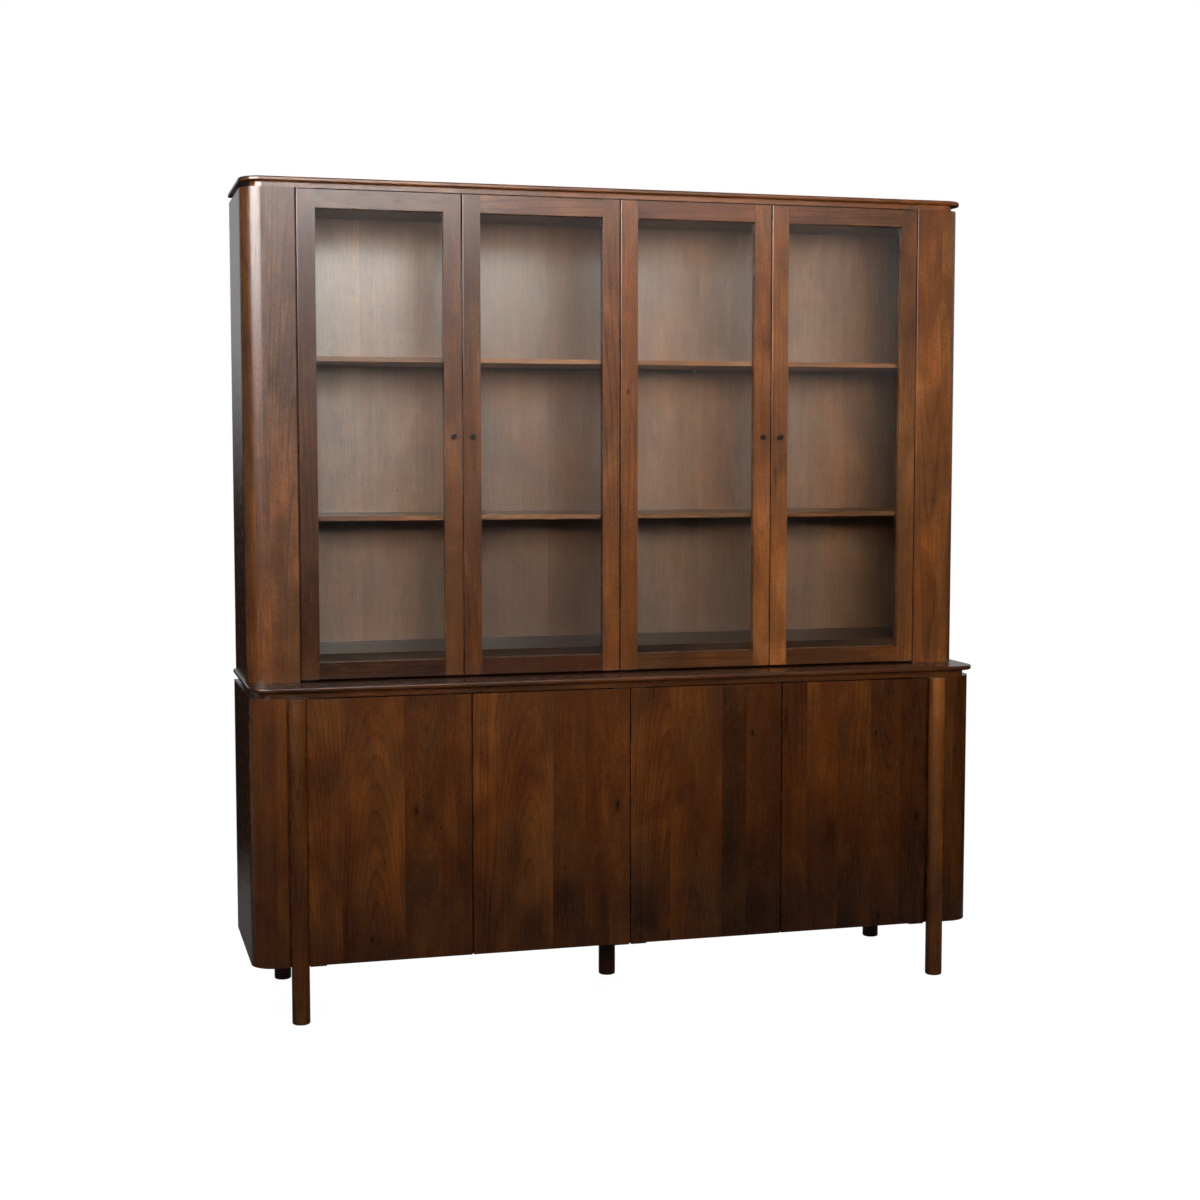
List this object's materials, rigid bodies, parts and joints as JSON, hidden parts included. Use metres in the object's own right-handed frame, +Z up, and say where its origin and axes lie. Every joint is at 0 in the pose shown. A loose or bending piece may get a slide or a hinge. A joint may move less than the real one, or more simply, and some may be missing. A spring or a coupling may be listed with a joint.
{
  "type": "dresser with hutch",
  "caption": "Dark stained wooden sideboard on round posts, with plain push-open doors, under a shallower display hutch with glazed doors and rounded front corners.",
  "frame": {"origin": "on the floor, midway across the width and the depth", "axes": "+X to the right seen from the front, +Y to the back, +Z up"},
  "size_m": [2, 0.4999, 2.15],
  "materials": {
    "stained_wood": "satin lacquer over a dark walnut stain, open grain",
    "inner_wood": "satin lacquer over a dark walnut stain",
    "back_veneer": "matt lacquer on stained veneer",
    "clear_glass": "clear float glass",
    "dark_knob": "satin black",
    "steel": "zinc plated",
    "catch_plastic": "matt dark brown"
  },
  "bodies": {
    "case": {"base_top_board": "stained_wood", "base_sub_top": "stained_wood", "base_side_left": "stained_wood", "base_side_right": "stained_wood", "base_corner_left": "stained_wood", "base_corner_right": "stained_wood", "front_post_left": "stained_wood", "front_post_right": "stained_wood", "rear_leg_left": "stained_wood", "rear_leg_right": "stained_wood", "centre_leg": "stained_wood", "hutch_top_board": "stained_wood", "hutch_sub_top": "stained_wood", "hutch_side_left": "stained_wood", "hutch_side_right": "stained_wood", "hutch_corner_left": "stained_wood", "hutch_corner_right": "stained_wood", "base_bottom_panel": "inner_wood", "base_centre_divider": "inner_wood", "base_shelf_left": "inner_wood", "base_shelf_right": "inner_wood", "hutch_floor": "inner_wood", "hutch_ceiling": "inner_wood", "hutch_inner_frame": "inner_wood", "hutch_shelf_lower": "inner_wood", "hutch_shelf_upper": "inner_wood", "base_back_panel": "back_veneer", "hutch_back_panel": "back_veneer", "door_pivots": "steel", "door_catches": "catch_plastic", "shelf_pins": "steel", "case_fasteners": "steel"},
    "base_door_1": {"base_door_1": "stained_wood", "base_door_1_fittings": "steel"},
    "latch_plunger_1": {"latch_plunger_1": "catch_plastic"},
    "base_door_2": {"base_door_2": "stained_wood", "base_door_2_fittings": "steel"},
    "latch_plunger_2": {"latch_plunger_2": "catch_plastic"},
    "base_door_3": {"base_door_3": "stained_wood", "base_door_3_fittings": "steel"},
    "latch_plunger_3": {"latch_plunger_3": "catch_plastic"},
    "base_door_4": {"base_door_4": "stained_wood", "base_door_4_fittings": "steel"},
    "latch_plunger_4": {"latch_plunger_4": "catch_plastic"},
    "hutch_door_1": {"hutch_door_1_frame": "stained_wood", "hutch_door_1_glass": "clear_glass", "hutch_door_1_knob": "dark_knob", "hutch_door_1_fittings": "steel"},
    "hutch_door_2": {"hutch_door_2_frame": "stained_wood", "hutch_door_2_glass": "clear_glass", "hutch_door_2_knob": "dark_knob", "hutch_door_2_fittings": "steel"},
    "hutch_door_3": {"hutch_door_3_frame": "stained_wood", "hutch_door_3_glass": "clear_glass", "hutch_door_3_knob": "dark_knob", "hutch_door_3_fittings": "steel"},
    "hutch_door_4": {"hutch_door_4_frame": "stained_wood", "hutch_door_4_glass": "clear_glass", "hutch_door_4_knob": "dark_knob", "hutch_door_4_fittings": "steel"}
  },
  "joints": [
    {"name": "base_door_1_swing", "type": "hinge", "parent": "case", "child": "base_door_1", "pos_m": [-0.85, -0.21, 0.488], "axis": [0, 0, -1], "range_deg": [0, 90]},
    {"name": "base_door_2_swing", "type": "hinge", "parent": "case", "child": "base_door_2", "pos_m": [-0.0065, -0.21, 0.488], "axis": [0, 0, 1], "range_deg": [0, 90]},
    {"name": "base_door_3_swing", "type": "hinge", "parent": "case", "child": "base_door_3", "pos_m": [0.0065, -0.21, 0.488], "axis": [0, 0, -1], "range_deg": [0, 90]},
    {"name": "base_door_4_swing", "type": "hinge", "parent": "case", "child": "base_door_4", "pos_m": [0.85, -0.21, 0.488], "axis": [0, 0, 1], "range_deg": [0, 90]},
    {"name": "hutch_door_1_swing", "type": "hinge", "parent": "case", "child": "hutch_door_1", "pos_m": [-0.85, -0.108, 1.496], "axis": [0, 0, -1], "range_deg": [0, 105]},
    {"name": "hutch_door_2_swing", "type": "hinge", "parent": "case", "child": "hutch_door_2", "pos_m": [-0.0065, -0.108, 1.496], "axis": [0, 0, 1], "range_deg": [0, 85]},
    {"name": "hutch_door_3_swing", "type": "hinge", "parent": "case", "child": "hutch_door_3", "pos_m": [0.0065, -0.108, 1.496], "axis": [0, 0, -1], "range_deg": [0, 85]},
    {"name": "hutch_door_4_swing", "type": "hinge", "parent": "case", "child": "hutch_door_4", "pos_m": [0.85, -0.108, 1.496], "axis": [0, 0, 1], "range_deg": [0, 105]},
    {"name": "latch_plunger_1_push", "type": "slide", "parent": "case", "child": "latch_plunger_1", "axis": [0, 1, 0], "range_m": [0, 0.003], "stiffness_N_per_m": 600, "springref_m": -0.002},
    {"name": "latch_plunger_2_push", "type": "slide", "parent": "case", "child": "latch_plunger_2", "axis": [0, 1, 0], "range_m": [0, 0.003], "stiffness_N_per_m": 600, "springref_m": -0.002},
    {"name": "latch_plunger_3_push", "type": "slide", "parent": "case", "child": "latch_plunger_3", "axis": [0, 1, 0], "range_m": [0, 0.003], "stiffness_N_per_m": 600, "springref_m": -0.002},
    {"name": "latch_plunger_4_push", "type": "slide", "parent": "case", "child": "latch_plunger_4", "axis": [0, 1, 0], "range_m": [0, 0.003], "stiffness_N_per_m": 600, "springref_m": -0.002}
  ]
}
